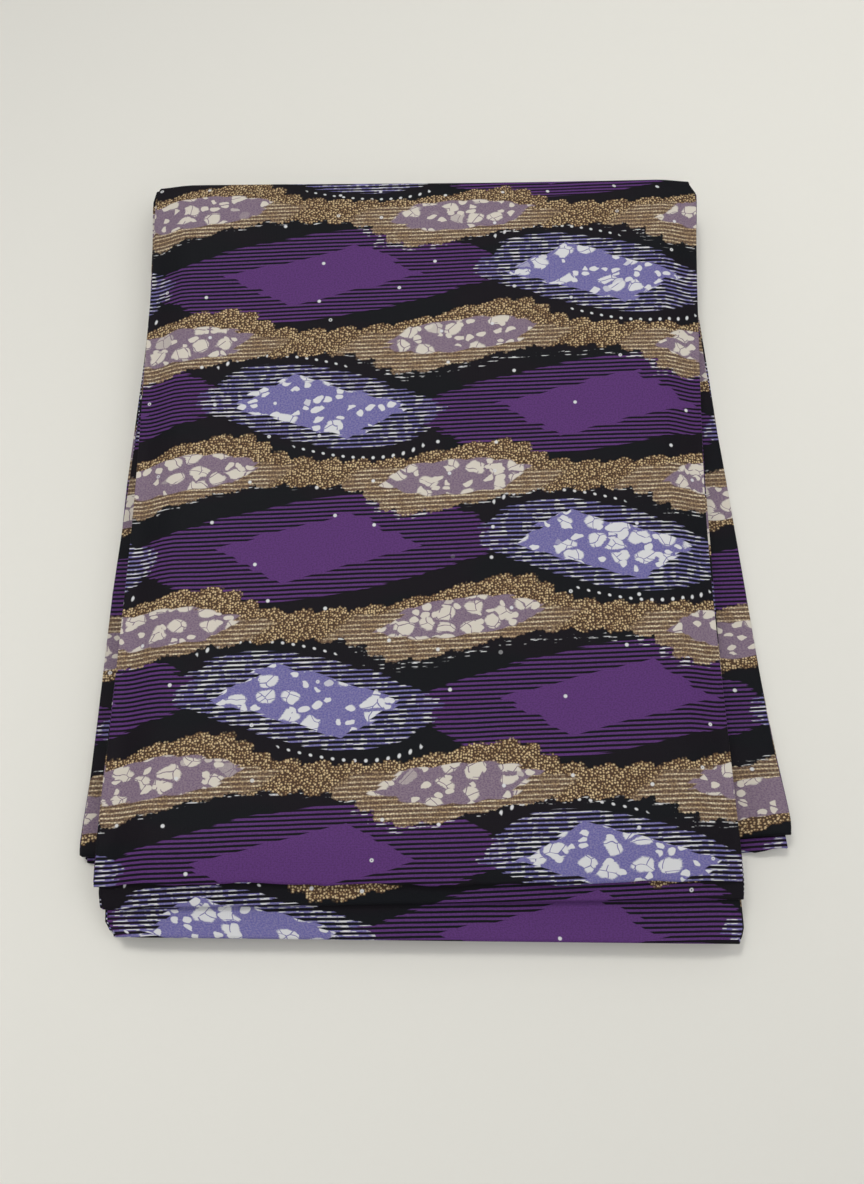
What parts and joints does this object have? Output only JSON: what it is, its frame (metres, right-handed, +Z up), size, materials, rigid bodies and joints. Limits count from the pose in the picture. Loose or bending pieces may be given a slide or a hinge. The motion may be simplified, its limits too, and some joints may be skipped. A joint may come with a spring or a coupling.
{
  "type": "folded wax print fabric",
  "caption": "Cut length of wax print cotton folded lengthwise and then back and forth into a flat packet, its lowest layers spreading out a little at the sides.",
  "frame": {"origin": "centre of the packet's box, at the height of the surface that it lies on", "axes": "+Z up, +Y from the near side with the two cut ends to the far side, +X to the right of someone facing +Y"},
  "size_m": [0.3444, 0.4155, 0.0303],
  "materials": {
    "wax_print_cotton": "plain weave cotton with a wax print on both faces, faintly glossy from its starch"
  },
  "bodies": {
    "root": {"folded_cloth": "wax_print_cotton"}
  },
  "joints": []
}
